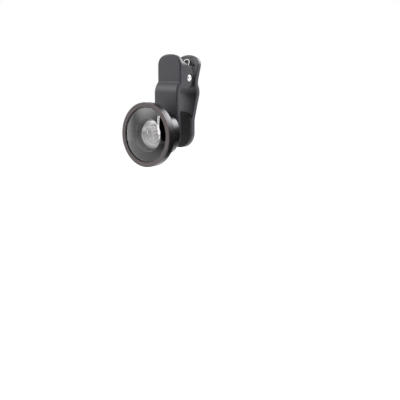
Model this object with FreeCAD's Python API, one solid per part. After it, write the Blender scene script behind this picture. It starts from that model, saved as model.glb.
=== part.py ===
import FreeCAD, Part
import os
from math import asin, atan2, cos, degrees, hypot, pi, radians, sin, sqrt, tan

os.makedirs("parts", exist_ok=True)
V = FreeCAD.Vector

# Frame: X across the clip, Y from the lens towards what is clipped, Z up to the handles.
# The origin is where the lens axis meets the front pad's contact face. Sizes in mm.
X_AXIS = V(1, 0, 0)
Y_AXIS = V(0, 1, 0)

# Clip as a whole
HALF = 8.6
JAW_GAP = 7.6
PIN_Y = 7.5
PIN_Z = 30.2
PIN_R = 1.5
RUN_FIT = 0.05
SHOULDER_R = 5.6
CROWN_R = 14.0
OUTER_BEVEL = 0.9
INNER_BEVEL = 0.4
BEYOND = 60.0

# Front lever: a moulded strip that swells over the lens and steps back into the handle
FRONT_PAD_T = 0.7
FRONT_PAD_TOP = 11.6
FRONT_PAD_INSET = 0.5
LIGHT_HOLE_R = 4.2
FRONT_T = 3.1
FRONT_TOP = 43.2
STEP_LOW = 21.9
STEP_RISE = 6.6
STEP_IN = 2.9
STEP_SWELL = 0.69
POCKET_DEEP = 1.0
POCKET_LOW = 31.0
POCKET_HIGH = 40.5
POCKET_CORNER = 2.0

# Ears of the front lever, one each side of the pivot
EAR_T = 1.6
EAR_R = 6.6
EAR_Y = 3.55
EAR_Z = 31.1
EAR_TOP_Z = 40.3
EAR_ROOT_LOW = 2.2
EAR_ROOT_RISE = 3.6
EAR_BEVEL = 0.4
HEAD_R = 1.95
HEAD_FLAT_R = 1.55
HEAD_OUT = 0.55
HEAD_EDGE = 0.33
DIMPLE_R = 1.1
DIMPLE_DEEP = 0.45
SINK_R = 2.45
SINK_DEEP = 0.8

# Rear lever, leaning back while the jaws stand parallel. Its own sizes are counted
# from the pin: outwards from it, and along the lever.
LEAN = 16.5
REAR_PAD_T = 1.1
REAR_T = 3.3
REAR_LOW = 9.29
REAR_HIGH = 6.0
REAR_STEP_FROM = -7.4
REAR_STEP_TO = 0.8
REAR_TOP = 14.5
REAR_BEND_R = 12.0
REAR_POCKET_LOW = 0.9
REAR_POCKET_HIGH = 9.0
REAR_POCKET_DEEP = 1.3
RECESS_HIGH = 13.1
RECESS_DEEP = 0.4
RECESS_CORNER = 4.2
REAR_POCKET_CORNER = 1.5
RIM = 1.35
REAR_PAD_RUN = 5.0
TONGUE_W = 3.0
TONGUE_R = 3.3
WEB_IN_LOW = 2.6
WEB_IN_HIGH = 1.5
WEB_RISE = 2.0

# Double torsion spring
WIRE = 0.8
WIRE_SIDES = 6
COIL_R = 2.3
COIL_PITCH = 1.3
LOOP_X = 2.16
LOOP_TOP = 11.7
WHOLE_TURNS = 2
LEG_TOP_Z = 38.5
REST_AIR = 0.03

# Threads, as plain cylinders of the thread's own diameter
MOUNT_THREAD_R = 5.6
INSERT_R = 6.4
INSERT_BACK = 0.05
TAIL_THREAD_R = 10.2
THREAD_LENGTH = 2.25

# Macro base lens
MACRO_R = 11.8
MACRO_FRONT = -14.35
MACRO_BACK = -4.5
MACRO_EDGE = 0.4
MACRO_BORE_END = -11.9
MACRO_GLASS_R = 7.2
MACRO_GLASS_FIT = 0.03
MACRO_SEAT = -6.6
MACRO_SEAT_R = 6.4
MACRO_EDGE_T = 1.6
MACRO_CLEAR_R = 6.1
MACRO_RADIUS = 21.0
MACRO_LOCK_R = 6.2
MACRO_LOCK_T = 1.1
SHOULDER_GAP = 0.4
SHOULDER_STEP_R = 8.2
NECK_BACK = -0.9
NECK_BORE_R = 4.4
NECK_CONE = -4.9

# Washers: one under each screwed lens
SEAT_AIR = 0.02
WASHER_T = 0.36
BASE_WASHER = (8.0, 5.7)
SEAM_WASHER_T = 0.2
SEAM_WASHER = (11.3, 10.4)

# Wide front lens
DRUM_R = 17.5
DRUM_BACK = -14.6
DRUM_FRONT = -19.1
DRUM_EDGE = 0.9
DRUM_FLOOR = -15.3
RING_SEAT_R = 16.5
RING_SEAT = -17.8
TAIL_BORE_R = 8.0
RING_R = 17.6
RING_EDGE = 0.35
RING_INNER_R = 15.0
RING_FRONT = -19.95
LIP_BACK = -19.52
RING_BACK = -17.9
SEAL_R = 14.95
SEAL_FRONT = -19.5
GLASS_R = 15.3
GLASS_FIT = 0.05
GLASS_RIM = -19.2
GLASS_BACK = -15.6
DOME_RADIUS = 39.0
DOME_EDGE = -19.45
DOME_EDGE_R = 14.9
BOWL_RADIUS = 9.8
BOWL_EDGE_R = 7.6
BAFFLE_R = 7.7
INNER_GLASS_R = 8.9
INNER_SEAT_R = 8.95
INNER_FRONT = -14.6
INNER_BACK = -13.05
INNER_RADIUS = 38.0
INNER_CLEAR_R = 7.4
INNER_LOCK = (8.93, 8.0)
INNER_LOCK_FRONT = -15.25


def save(name, shape):
    shape.exportStep("parts/" + name + ".step")


def line(a, b):
    return Part.LineSegment(a, b).toShape()


def arc(a, middle, b):
    return Part.Arc(a, middle, b).toShape()


def face_of(edges):
    return Part.Face(Part.Wire(Part.__sortEdges__(edges)))


def turned(outline):
    # Turns a closed outline of (radius, y) points about the lens axis
    points = [V(r, y, 0) for r, y in outline + outline[:1]]
    return Part.Face(Part.makePolygon(points)).revolve(V(0, 0, 0), Y_AXIS, 360)


def ring(outer, inner, front, back):
    return turned([(inner, front), (outer, front), (outer, back), (inner, back)])


def disc(radius, front, back):
    return Part.makeCylinder(radius, back - front, V(0, front, 0), Y_AXIS)


def across_x(radius, x_from, x_to, y, z):
    # A cylinder across the clip
    return Part.makeCylinder(radius, x_to - x_from, V(x_from, y, z), X_AXIS)


def s_bend(along, aside, share=0.5):
    # Two bends that shift a strip sideways and leave it straight again. The share is the
    # first one's part of their two radii together
    both = (along ** 2 + aside ** 2) / (2 * abs(aside))
    turn = degrees(asin(along / both))
    turn = turn if aside > 0 else -turn
    return [(both * share, turn), (both * (1 - share), -turn)]


def follow(y, z, moves, offset):
    # One long side of a strip that sets out upwards: straight runs (length, 0) and
    # bends (radius, degrees towards +Y), with the side offset from its middle line
    heading = 0.0
    p = V(0, y, z)
    edges = []
    for size, turn in moves:
        right = V(0, cos(heading), -sin(heading))
        if turn == 0:
            q = p + V(0, sin(heading), cos(heading)) * size
            edges.append(line(p + right * offset, q + right * offset))
        else:
            signed = size if turn > 0 else -size
            centre = p + right * signed
            stations = []
            for part_of in (0, 0.5, 1):
                angle = heading + radians(turn) * part_of
                stations.append(V(0, cos(angle), -sin(angle)))
            edges.append(arc(*[centre - s * (signed - offset) for s in stations]))
            heading += radians(turn)
            q = centre - stations[2] * signed
        p = q
    return edges


def strip(y, z, moves, thickness):
    # A bent strip of the clip's width
    outer = follow(y, z, moves, -thickness / 2)
    inner = follow(y, z, moves, thickness / 2)
    foot = line(V(0, y - thickness / 2, z), V(0, y + thickness / 2, z))
    top = line(outer[-1].Vertexes[-1].Point, inner[-1].Vertexes[-1].Point)
    solid = face_of(outer + inner + [foot, top]).extrude(X_AXIS * (2 * HALF))
    solid.translate(X_AXIS * -HALF)
    return solid


def tongue_outline(low, high):
    # Front view of a lever: a round foot, straight sides, round shoulders and a crowned top
    side_x = HALF - SHOULDER_R
    reach = sqrt((CROWN_R - SHOULDER_R) ** 2 - side_x ** 2)
    side_z = high - CROWN_R + reach
    grown = CROWN_R / (CROWN_R - SHOULDER_R)
    meet_x, meet_z = side_x * grown, high - CROWN_R + reach * grown
    half_turn = atan2(reach, side_x) / 2
    bulge_x = side_x + SHOULDER_R * cos(half_turn)
    bulge_z = side_z + SHOULDER_R * sin(half_turn)
    edges = [arc(V(-HALF, 0, low), V(0, 0, low - HALF), V(HALF, 0, low))]
    edges.append(arc(V(-meet_x, 0, meet_z), V(0, 0, high), V(meet_x, 0, meet_z)))
    for side in (-1, 1):
        corner = V(side * HALF, 0, side_z)
        edges.append(line(V(side * HALF, 0, low), corner))
        edges.append(arc(corner, V(side * bulge_x, 0, bulge_z), V(side * meet_x, 0, meet_z)))
    return face_of(edges)


def through(outline):
    # An outline drawn in front view, as a solid that runs right through the clip
    outline.translate(Y_AXIS * (-BEYOND / 2))
    return outline.extrude(Y_AXIS * BEYOND)


def lean(shape):
    # Leans a shape back about the pin, as the rear lever does
    shape.rotate(V(0, PIN_Y, PIN_Z), X_AXIS, -LEAN)
    return shape


def beside_pin(out, along):
    # A point given from the pin in the rear lever's own directions
    t = radians(LEAN)
    return V(0, PIN_Y + out * cos(t) + along * sin(t), PIN_Z - out * sin(t) + along * cos(t))


def round_over(shape, radius, chosen):
    edges = [e for e in shape.Edges if chosen(e)]
    return shape.makeFillet(radius, edges)


def facing(face, way):
    # How far a face looks along a direction, at its middle
    u0, u1, v0, v1 = face.ParameterRange
    return face.normalAt((u0 + u1) / 2, (v0 + v1) / 2).dot(way)


def rim_of(shape, way):
    # The edges between a strip's broad face that looks along way and its narrow sides
    broad = [f for f in shape.Faces if facing(f, way) > 0.5]
    narrow = [f for f in shape.Faces if abs(facing(f, way)) < 0.3]
    return [e for f in broad for e in f.Edges if any(e.isSame(o) for n in narrow for o in n.Edges)]


def finish_rims(shape, outwards):
    # Bevels a strip's rims: broadly on the outside, finely on the inside
    shape = shape.makeChamfer(OUTER_BEVEL, rim_of(shape, outwards))
    return shape.makeChamfer(INNER_BEVEL, rim_of(shape, outwards * -1))


# Front lever
def front_strip():
    middle = -FRONT_PAD_T - FRONT_T / 2
    top_run = FRONT_TOP - STEP_LOW - STEP_RISE
    moves = [(STEP_LOW + HALF, 0)] + s_bend(STEP_RISE, STEP_IN, STEP_SWELL) + [(top_run, 0)]
    body = strip(middle, -HALF, moves, FRONT_T).common(through(tongue_outline(0, FRONT_TOP)))
    return finish_rims(body, -Y_AXIS)


def ear(x):
    # One ear: a round end on a root that runs up the handle and down into the swelling
    root_y = -FRONT_PAD_T + STEP_IN - FRONT_T / 2
    low_z = EAR_Z - EAR_R
    top = V(x, root_y, EAR_TOP_Z)
    reach = hypot(root_y - EAR_Y, EAR_TOP_Z - EAR_Z)
    rise = atan2(EAR_TOP_Z - EAR_Z, root_y - EAR_Y)
    touch = rise - atan2(sqrt(reach ** 2 - EAR_R ** 2), EAR_R)
    tangent = V(x, EAR_Y + EAR_R * cos(touch), EAR_Z + EAR_R * sin(touch))
    tip = V(x, EAR_Y + EAR_R, EAR_Z)
    under = V(x, EAR_Y, low_z)
    low_root = V(x, root_y - EAR_ROOT_LOW, low_z)
    high_root = V(x, root_y, low_z + EAR_ROOT_RISE)
    half_way = touch / 2
    upper = V(x, EAR_Y + EAR_R * cos(half_way), EAR_Z + EAR_R * sin(half_way))
    lower = V(x, EAR_Y + EAR_R * sqrt(0.5), EAR_Z - EAR_R * sqrt(0.5))
    edges = [line(top, tangent), arc(tangent, upper, tip), arc(tip, lower, under)]
    edges += [line(under, low_root), line(low_root, high_root), line(high_root, top)]
    solid = face_of(edges).extrude(X_AXIS * EAR_T)
    outer_x = x if x < 0 else x + EAR_T
    solid = solid.makeChamfer(EAR_BEVEL, [e for e in solid.Edges if on_rim(e, outer_x, root_y)])
    return solid.common(through(tongue_outline(0, FRONT_TOP)))


def on_rim(edge, x, root_y):
    # True for the edges of an ear's outer side, apart from its root
    box = edge.BoundBox
    return abs(box.XMin - x) < 1e-3 and abs(box.XMax - x) < 1e-3 and box.YMax > root_y + 1e-3


def front_lever():
    body = front_strip()
    back_of_handle = -FRONT_PAD_T + STEP_IN
    pocket_half = HALF - EAR_T
    pocket = Part.makeBox(
        2 * pocket_half, POCKET_DEEP + 1, POCKET_HIGH - POCKET_LOW,
        V(-pocket_half, back_of_handle - POCKET_DEEP, POCKET_LOW),
    )
    body = body.cut(round_over(pocket, POCKET_CORNER, runs_along_y))
    for x in (-HALF, HALF - EAR_T):
        body = body.fuse(ear(x))
    body = body.cut(across_x(PIN_R, -HALF - 1, HALF + 1, PIN_Y, PIN_Z))
    for x in (-HALF - 1, HALF - SINK_DEEP):
        body = body.cut(across_x(SINK_R, x, x + SINK_DEEP + 1, PIN_Y, PIN_Z))
    body = body.cut(disc(INSERT_R, -BEYOND / 2, BEYOND / 2))
    return body.removeSplitter()


# Rear lever
def rear_corner():
    # Height of the jaw's bend, and the length of the slope from there up to the step
    jaw_y = JAW_GAP + REAR_PAD_T + REAR_T / 2
    step = beside_pin(REAR_LOW, REAR_STEP_FROM)
    sloping = (step.y - jaw_y) / sin(radians(LEAN))
    return step.z - sloping * cos(radians(LEAN)), sloping


def rear_strip():
    jaw_y = JAW_GAP + REAR_PAD_T + REAR_T / 2
    corner_z, sloping = rear_corner()
    tangent = REAR_BEND_R * tan(radians(LEAN) / 2)
    moves = [(corner_z - tangent + HALF, 0), (REAR_BEND_R, LEAN), (sloping - tangent, 0)]
    moves += s_bend(REAR_STEP_TO - REAR_STEP_FROM, REAR_HIGH - REAR_LOW)
    moves += [(REAR_TOP - REAR_STEP_TO, 0)]
    body = strip(jaw_y, -HALF, moves, REAR_T)
    body = body.common(through(tongue_outline(0, BEYOND)))
    body = body.common(lean(through(tongue_outline(0, PIN_Z + REAR_TOP))))
    return finish_rims(body, Y_AXIS)


def runs_along_y(edge):
    return edge.BoundBox.YLength > 1


def handle_hollow(low, high, deep, corner):
    # What is cut from the inside of the rear handle, between two places along it
    inner_y = PIN_Y + REAR_HIGH - REAR_T / 2
    half = HALF - RIM
    box = Part.makeBox(2 * half, deep + REAR_T, high - low, V(-half, inner_y - REAR_T, PIN_Z + low))
    return lean(round_over(box, corner, runs_along_y))


def tongue():
    # A round boss about the pin, on a web that widens into the handle
    inner = REAR_HIGH - REAR_T / 2
    side_x = -TONGUE_W / 2
    boss = across_x(TONGUE_R, side_x, -side_x, PIN_Y, PIN_Z)
    low, high = PIN_Z - TONGUE_R, PIN_Z + TONGUE_R
    corners = [
        V(side_x, PIN_Y, low), V(side_x, PIN_Y + inner + WEB_IN_LOW, low),
        V(side_x, PIN_Y + inner + WEB_IN_HIGH, high + WEB_RISE), V(side_x, PIN_Y, high),
    ]
    web = Part.Face(Part.makePolygon(corners + corners[:1])).extrude(X_AXIS * TONGUE_W)
    return lean(boss.fuse(web))


def rear_lever():
    body = rear_strip()
    body = body.cut(handle_hollow(REAR_POCKET_LOW, RECESS_HIGH, RECESS_DEEP, RECESS_CORNER))
    body = body.cut(handle_hollow(REAR_POCKET_LOW, REAR_POCKET_HIGH, REAR_POCKET_DEEP, REAR_POCKET_CORNER))
    body = body.fuse(tongue())
    bore = across_x(PIN_R + RUN_FIT, -HALF, HALF, PIN_Y, PIN_Z)
    return body.cut(bore).removeSplitter()


# Rubber pads
def front_pad():
    outline = tongue_outline(0, FRONT_PAD_TOP)
    outline.translate(Y_AXIS * -FRONT_PAD_T)
    pad = outline.extrude(Y_AXIS * FRONT_PAD_T)
    half = HALF - FRONT_PAD_INSET
    pad = pad.common(Part.makeBox(2 * half, BEYOND, BEYOND, V(-half, -BEYOND / 2, -BEYOND / 2)))
    return pad.cut(disc(LIGHT_HOLE_R, -BEYOND / 2, BEYOND / 2))


def rear_pad():
    # Follows the inside of the jaw over its bend
    corner_z, _ = rear_corner()
    tangent = REAR_BEND_R * tan(radians(LEAN) / 2)
    bend_r = REAR_BEND_R + (REAR_T + REAR_PAD_T) / 2
    moves = [(corner_z - tangent + HALF, 0), (bend_r, LEAN), (REAR_PAD_RUN, 0)]
    pad = strip(JAW_GAP + REAR_PAD_T / 2, -HALF, moves, REAR_PAD_T)
    return pad.common(through(tongue_outline(0, FRONT_PAD_TOP)))


# Pivot pin and its pressed cap
def pin_head(x, outwards):
    # A plated head with a turned dimple
    points = [
        (0, 0), (HEAD_R, 0), (HEAD_R, HEAD_EDGE), (HEAD_FLAT_R, HEAD_OUT),
        (DIMPLE_R, HEAD_OUT), (0, HEAD_OUT - DIMPLE_DEEP),
    ]
    outline = [V(x + outwards * out, r, 0) for r, out in points]
    head = Part.Face(Part.makePolygon(outline + outline[:1])).revolve(V(0, 0, 0), X_AXIS, 360)
    head.translate(V(0, PIN_Y, PIN_Z))
    return head


def pivot_pin():
    seat = HALF - SINK_DEEP
    shank = across_x(PIN_R, -seat, seat, PIN_Y, PIN_Z)
    return shank.fuse(pin_head(seat, 1)).removeSplitter()


def pin_cap():
    return pin_head(SINK_DEEP - HALF, -1)


# Double torsion spring
def bend(p, p_way, q, q_way):
    # Two arcs that leave p along p_way and reach q along q_way, with no kink between
    chord = q - p
    ways = p_way + q_way
    spread = 2 * (1 - p_way.dot(q_way))
    along = chord.dot(ways)
    reach = (sqrt(along ** 2 + spread * chord.dot(chord)) - along) / spread
    a = p + p_way * reach
    b = q - q_way * reach
    joint = (a + b) * 0.5
    return [short_arc(p, a, joint), short_arc(joint, b, q)]


def short_arc(start, corner, end):
    # The arc from start to end whose two tangents meet at corner
    middle = (start + end) * 0.5
    height = (corner - middle).Length
    half_chord = (end - start).Length / 2
    bulge = half_chord * tan(atan2(height, half_chord) / 2)
    return arc(start, middle + (corner - middle) * (bulge / height), end)


def leaving_angle(target, outgoing):
    # Direction in which a straight leg runs between the coil and a target beside it
    out = V(0, target.y - PIN_Y, target.z - PIN_Z)
    side = asin(COIL_R / out.Length)
    if outgoing:
        return atan2(out.z, out.y) + side
    return atan2(out.z, out.y) - pi - side


def on_coil(angle, x):
    return V(x, PIN_Y + COIL_R * cos(angle), PIN_Z + COIL_R * sin(angle))


def coil_way(angle):
    # Direction of the wire at an angle round the pin, as it winds towards the loop
    way = V(-COIL_PITCH / (2 * pi), -COIL_R * sin(angle), COIL_R * cos(angle))
    return way.normalize()


def half_spring_path():
    # From the free end on the front handle, round the coil, to the middle of the loop
    wire_out = WIRE / 2 + REST_AIR
    loop_top = beside_pin(REAR_HIGH - REAR_T / 2 + RECESS_DEEP - wire_out, LOOP_TOP)
    seat_y = -FRONT_PAD_T + STEP_IN - POCKET_DEEP + wire_out
    leg_top = V(0, seat_y, LEG_TOP_Z)
    leg_way = leaving_angle(leg_top, False)
    loop_way = leaving_angle(loop_top, True)
    first = leg_way - pi / 2
    last = loop_way - pi / 2 + 2 * pi * WHOLE_TURNS
    pitch_of = COIL_PITCH / (2 * pi)
    outer_x = LOOP_X + pitch_of * (last - first)
    quarters = 4 * WHOLE_TURNS + 2
    edges = []
    leg_end = V(outer_x, leg_top.y, leg_top.z)
    start = on_coil(first, outer_x)
    edges.append(line(leg_end, start))
    step = (last - first) / quarters
    for k in range(quarters):
        a = first + k * step
        b = a + step
        p = on_coil(a, outer_x - pitch_of * (a - first))
        q = on_coil(b, outer_x - pitch_of * (b - first))
        p_way = V(0, cos(leg_way), sin(leg_way)) if k == 0 else coil_way(a)
        q_way = V(0, cos(loop_way), sin(loop_way)) if k == quarters - 1 else coil_way(b)
        edges += bend(p, p_way, q, q_way)
    up = V(0, cos(loop_way), sin(loop_way))
    top = V(LOOP_X, loop_top.y, loop_top.z)
    shoulder = top - up * LOOP_X
    edges.append(line(q, shoulder))
    quarter = sqrt(0.5) * LOOP_X
    crown = V(0, top.y, top.z)
    middle = V(quarter, shoulder.y, shoulder.z) + up * quarter
    edges.append(arc(shoulder, middle, crown))
    return edges


def reversed_mirror(edges):
    # The same path on the other side of the clip, from the loop back to its free end
    other = []
    for e in reversed(edges):
        a, m, b = [e.valueAt(e.FirstParameter + (e.LastParameter - e.FirstParameter) * t) for t in (0, 0.5, 1)]
        a, m, b = [V(-p.x, p.y, p.z) for p in (a, m, b)]
        if e.Curve.TypeId == "Part::GeomLine":
            other.append(line(b, a))
        else:
            other.append(arc(b, m, a))
    return other


def wire_gap(edges):
    # Least distance between the wire's surface and itself, on points along its path
    points = []
    run = 0.0
    for e in edges:
        count = max(2, int(e.Length / 0.15))
        for k in range(count):
            t = e.FirstParameter + (e.LastParameter - e.FirstParameter) * k / count
            points.append((run + e.Length * k / count, e.valueAt(t)))
        run += e.Length
    least = 1e9
    for i, (s, p) in enumerate(points):
        for r, q in points[i + 1:]:
            if r - s > 3 * WIRE:
                least = min(least, p.distanceToPoint(q))
    return least - WIRE, run


def torsion_spring():
    half = half_spring_path()
    path = half + reversed_mirror(half)
    gap, length = wire_gap(path)
    start = half[0].Vertexes[0].Point
    way = half[0].Vertexes[1].Point - start
    rim = Part.makeCircle(WIRE / 2, start, way)
    corners = [rim.valueAt(2 * pi * k / WIRE_SIDES) for k in range(WIRE_SIDES)]
    section = Part.makePolygon(corners + corners[:1])
    tube = Part.Wire(path).makePipeShell([section], True, False)
    expected = length * WIRE_SIDES / 2 * sin(2 * pi / WIRE_SIDES) * (WIRE / 2) ** 2
    print("spring: gap %.3f mm, wire %.2f mm, volume %.3f of %.3f" % (gap, length, tube.Volume, expected))
    return tube


# Threaded metal ring pressed into the front lever
def mount_insert():
    front = -FRONT_PAD_T - FRONT_T
    return ring(INSERT_R, MOUNT_THREAD_R, front, -FRONT_PAD_T - INSERT_BACK)


# Macro base lens
def macro_barrel():
    neck = MOUNT_THREAD_R - RUN_FIT
    shoulder = -FRONT_PAD_T - FRONT_T - SHOULDER_GAP
    glass = MACRO_GLASS_R + MACRO_GLASS_FIT
    return turned([
        (TAIL_THREAD_R, MACRO_FRONT), (MACRO_R, MACRO_FRONT), (MACRO_R, MACRO_BACK - MACRO_EDGE),
        (MACRO_R - MACRO_EDGE, MACRO_BACK), (SHOULDER_STEP_R, MACRO_BACK),
        (SHOULDER_STEP_R, shoulder), (neck, shoulder), (neck, NECK_BACK),
        (NECK_BORE_R, NECK_BACK), (NECK_BORE_R, NECK_CONE), (MACRO_SEAT_R, MACRO_SEAT),
        (glass, MACRO_SEAT), (glass, MACRO_BORE_END), (TAIL_THREAD_R, MACRO_BORE_END),
    ])


def macro_retaining_ring():
    back = MACRO_SEAT - MACRO_EDGE_T
    return ring(MACRO_GLASS_R, MACRO_LOCK_R, back - MACRO_LOCK_T, back)


def base_washer():
    outer, inner = BASE_WASHER
    back = -FRONT_PAD_T - FRONT_T - SEAT_AIR
    return ring(outer, inner, back - WASHER_T, back)


def seam_washer():
    outer, inner = SEAM_WASHER
    return ring(outer, inner, MACRO_FRONT - SEAM_WASHER_T, MACRO_FRONT)


def ball(radius, y):
    return Part.makeSphere(radius, V(0, y, 0))


def sag(radius, reach):
    # Depth of a curved surface between its middle and a circle round it
    return radius - sqrt(radius ** 2 - reach ** 2)


def hollowed(body, radius, reach, y, way):
    # Sinks a bowl into a flat side at y that looks along way, up to a circle of radius reach
    return body.cut(ball(radius, y + way * (radius - sag(radius, reach))))


def macro_element():
    # Ground to the same dome on both sides, with a flat rim for its seat
    front = MACRO_SEAT - MACRO_EDGE_T
    depth = sag(MACRO_RADIUS, MACRO_CLEAR_R)
    body = disc(MACRO_CLEAR_R, front - depth - 1, MACRO_SEAT + depth + 1)
    body = body.common(ball(MACRO_RADIUS, front - depth + MACRO_RADIUS))
    body = body.common(ball(MACRO_RADIUS, MACRO_SEAT + depth - MACRO_RADIUS))
    return body.fuse(ring(MACRO_GLASS_R, MACRO_CLEAR_R, front, MACRO_SEAT)).removeSplitter()


# Wide front lens
def front_meniscus():
    # Domed in front and deeply hollow behind, with a flat rim under the seal
    depth = sag(DOME_RADIUS, DOME_EDGE_R)
    body = disc(DOME_EDGE_R, DOME_EDGE - depth - 1, GLASS_BACK)
    body = body.common(ball(DOME_RADIUS, DOME_EDGE - depth + DOME_RADIUS))
    body = hollowed(body, BOWL_RADIUS, BOWL_EDGE_R, GLASS_BACK, 1)
    return body.fuse(ring(GLASS_R, DOME_EDGE_R, GLASS_RIM, GLASS_BACK)).removeSplitter()


def inner_element():
    body = disc(INNER_GLASS_R, INNER_FRONT, INNER_BACK)
    return hollowed(body, INNER_RADIUS, INNER_CLEAR_R, INNER_FRONT, -1)


def inner_retaining_ring():
    outer, inner = INNER_LOCK
    return ring(outer, inner, INNER_LOCK_FRONT, INNER_FRONT)


def wide_barrel():
    tail = TAIL_THREAD_R - RUN_FIT
    tail_back = DRUM_BACK + THREAD_LENGTH
    glass = GLASS_R + GLASS_FIT
    return turned([
        (RING_SEAT_R, DRUM_FRONT), (DRUM_R, DRUM_FRONT), (DRUM_R, DRUM_BACK - DRUM_EDGE),
        (DRUM_R - DRUM_EDGE, DRUM_BACK), (tail, DRUM_BACK), (tail, tail_back),
        (TAIL_BORE_R, tail_back), (TAIL_BORE_R, INNER_BACK + GLASS_FIT),
        (INNER_SEAT_R, INNER_BACK + GLASS_FIT), (INNER_SEAT_R, DRUM_FLOOR),
        (glass, DRUM_FLOOR), (glass, RING_SEAT), (RING_SEAT_R, RING_SEAT),
    ])


def front_ring():
    # A lip over the glass on a skirt that goes down inside the drum
    skirt = RING_SEAT_R - GLASS_FIT
    bore = GLASS_R + 2 * GLASS_FIT
    under = DRUM_FRONT - SEAT_AIR
    return turned([
        (RING_INNER_R, RING_FRONT), (RING_R - RING_EDGE, RING_FRONT), (RING_R, RING_FRONT + RING_EDGE),
        (RING_R, under), (skirt, under), (skirt, RING_BACK), (bore, RING_BACK), (bore, LIP_BACK),
        (RING_INNER_R, LIP_BACK),
    ])


def glass_seal():
    return ring(GLASS_R, SEAL_R, SEAL_FRONT, GLASS_RIM)


def light_baffle():
    return ring(GLASS_R, BAFFLE_R, GLASS_BACK, DRUM_FLOOR)


solids = {
    "front_lever": front_lever(),
    "front_pad": front_pad(),
    "mount_insert": mount_insert(),
    "pivot_pin": pivot_pin(),
    "pin_cap": pin_cap(),
    "torsion_spring": torsion_spring(),
    "rear_lever": rear_lever(),
    "rear_pad": rear_pad(),
    "macro_element": macro_element(),
    "macro_barrel": macro_barrel(),
    "macro_retaining_ring": macro_retaining_ring(),
    "base_washer": base_washer(),
    "seam_washer": seam_washer(),
    "front_meniscus": front_meniscus(),
    "inner_element": inner_element(),
    "wide_barrel": wide_barrel(),
    "front_ring": front_ring(),
    "glass_seal": glass_seal(),
    "light_baffle": light_baffle(),
    "inner_retaining_ring": inner_retaining_ring(),
}
for name, solid in solids.items():
    if not solid.isValid() or len(solid.Solids) != 1:
        print("check", name, solid.isValid(), len(solid.Solids))
    save(name, solid)
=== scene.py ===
import bmesh
import bpy
from math import asin, atan2, cos, pi, radians, sin, sqrt
from mathutils import Matrix, Vector


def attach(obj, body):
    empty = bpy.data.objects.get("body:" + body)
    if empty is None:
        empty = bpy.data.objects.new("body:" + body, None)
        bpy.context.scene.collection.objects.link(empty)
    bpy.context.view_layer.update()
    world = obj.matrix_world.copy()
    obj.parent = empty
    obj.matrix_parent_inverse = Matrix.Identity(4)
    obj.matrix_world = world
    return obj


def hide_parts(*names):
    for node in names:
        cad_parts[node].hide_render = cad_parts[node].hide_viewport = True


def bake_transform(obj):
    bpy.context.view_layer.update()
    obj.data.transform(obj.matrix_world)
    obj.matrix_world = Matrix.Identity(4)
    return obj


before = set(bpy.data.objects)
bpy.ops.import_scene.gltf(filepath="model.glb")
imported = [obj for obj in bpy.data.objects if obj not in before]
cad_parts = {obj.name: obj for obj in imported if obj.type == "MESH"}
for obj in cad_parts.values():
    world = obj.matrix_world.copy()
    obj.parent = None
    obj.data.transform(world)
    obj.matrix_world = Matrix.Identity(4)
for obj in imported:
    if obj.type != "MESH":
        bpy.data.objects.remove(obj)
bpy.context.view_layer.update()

# Front lever: the clip's front half, moulded in satin black ABS. The tool was spark eroded,
# which leaves an even fine grain, and its edges were rounded where a thumb goes.
MM = 0.001
ABS_GRAIN = 0.35
ABS_CLOUD = 7
MERGE_WITHIN = 0.0005
FLAT_BELOW = radians(0.2)
ROUND_BELOW = radians(50)
LARGE_FACES_LEAD = 100
# A colour Mix node's inputs for its share and its two colours, and the output that mixes them
SHARE, FIRST, SECOND, MIXED = 0, 6, 7, 2


def linear(colour):
    # An sRGB hex colour as linear red, green, blue and alpha
    parts = [int(colour[i:i + 2], 16) / 255 for i in (1, 3, 5)]
    return [p / 12.92 if p <= 0.04045 else ((p + 0.055) / 1.055) ** 2.4 for p in parts] + [1]


def add(tree, kind, inputs=None, **settings):
    # Adds a node. An input takes a value, a node's socket, or a node for its first output
    node = tree.nodes.new(kind)
    for name, value in settings.items():
        setattr(node, name, value)
    for name, value in (inputs or {}).items():
        value = value.outputs[0] if isinstance(value, bpy.types.Node) else value
        if isinstance(value, bpy.types.NodeSocket):
            tree.links.new(value, node.inputs[name])
        else:
            node.inputs[name].default_value = value
    return node


def finish(name):
    # An empty material, its node tree and the place of each point on the piece
    material = bpy.data.materials.new(name)
    material.use_nodes = True
    material.node_tree.nodes.clear()
    place = add(material.node_tree, "ShaderNodeTexCoord").outputs["Object"]
    return material, material.node_tree, place


def stands_for(piece, material, body, slot, *nodes):
    # Gives a piece its finish and its body, and lets it stand for CAD nodes
    piece.data.materials.clear()
    piece.data.materials.append(material)
    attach(piece, body)
    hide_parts(*nodes)


def smoothed(node, name):
    # A solid's own shape with its round stretches shaded as round and its flats as flat. Flats
    # are joined to whole faces first, or the thin triangles in them would show as streaks
    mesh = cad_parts[node].data.copy()
    work = bmesh.new()
    work.from_mesh(mesh)
    bmesh.ops.remove_doubles(work, verts=work.verts, dist=MERGE_WITHIN * MM)
    bmesh.ops.dissolve_limit(work, angle_limit=FLAT_BELOW, verts=work.verts, edges=work.edges)
    work.to_mesh(mesh)
    work.free()
    mesh.shade_smooth()
    mesh.set_sharp_from_angle(angle=ROUND_BELOW)
    piece = bpy.data.objects.new(name, mesh)
    bpy.context.collection.objects.link(piece)
    weighted = piece.modifiers.new("flats_stay_flat", "WEIGHTED_NORMAL")
    weighted.keep_sharp = True
    weighted.weight = LARGE_FACES_LEAD
    return piece


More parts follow.
